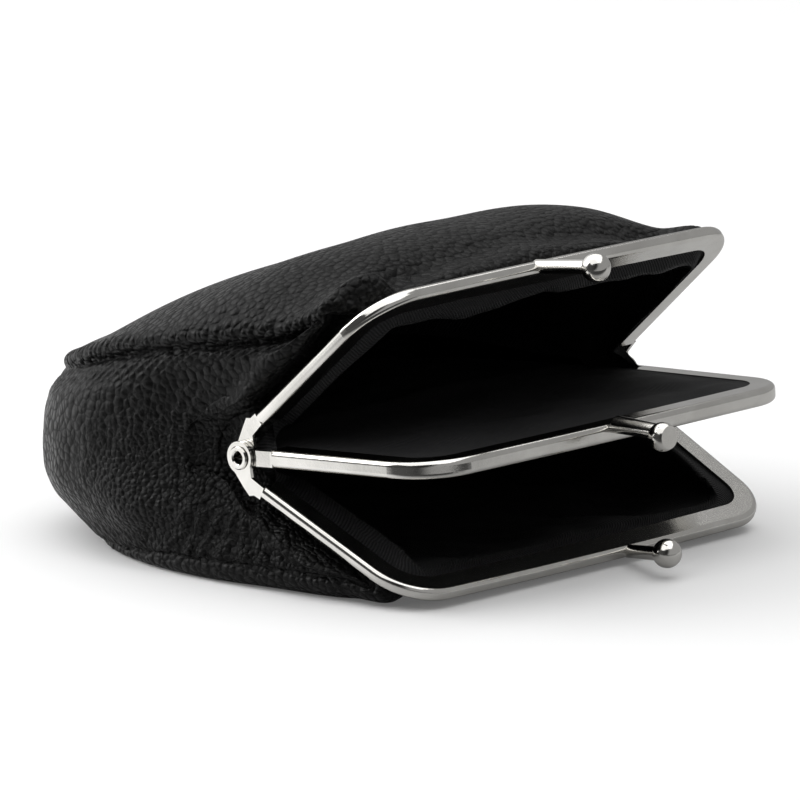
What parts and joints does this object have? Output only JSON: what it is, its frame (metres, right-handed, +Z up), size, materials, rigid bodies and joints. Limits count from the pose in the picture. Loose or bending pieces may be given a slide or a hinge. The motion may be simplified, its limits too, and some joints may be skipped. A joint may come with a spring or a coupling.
{
  "type": "kiss lock frame purse",
  "caption": "Leather purse on its back, open: bent metal frames on a common hinge part its lined pockets, and ball clasps on curled stems cross to hold them shut.",
  "frame": {"origin": "centre of the bounding box, on the surface the purse lies on", "axes": "+X along the hinge axis to the right, +Y from the mouth to the closed end, +Z up"},
  "size_m": [0.1218, 0.1306, 0.0639],
  "materials": {
    "nickel": "polished nickel plate",
    "hide": "pebbled grain, semi-matt black",
    "cloth": "ribbed black lining",
    "packing": "twisted paper cord",
    "board": "grey card"
  },
  "bodies": {
    "bag": {"middle_frame": "nickel", "middle_cord": "packing", "middle_clasp_post": "nickel", "middle_clasp_head": "nickel", "left_rivet": "nickel", "right_rivet": "nickel", "divider_board": "board", "top_panel": "hide", "gusset": "hide", "bottom_panel": "hide", "upper_lining": "cloth", "lower_lining": "cloth"},
    "upper_frame": {"top_frame": "nickel", "top_cord": "packing", "top_hem": "hide", "top_clasp_stem": "nickel", "top_clasp_ball": "nickel"},
    "lower_frame": {"bottom_frame": "nickel", "bottom_cord": "packing", "bottom_hem": "hide", "bottom_clasp_stem": "nickel", "bottom_clasp_ball": "nickel"}
  },
  "joints": [
    {"name": "upper_frame_hinge", "type": "hinge", "parent": "bag", "child": "upper_frame", "pos_m": [0, -0.00455, 0.0244], "axis": [1, 0, 0], "range_deg": [0, 37.9]},
    {"name": "lower_frame_hinge", "type": "hinge", "parent": "bag", "child": "lower_frame", "pos_m": [0, -0.00455, 0.0244], "axis": [-1, 0, 0], "range_deg": [0, 27.9]}
  ]
}
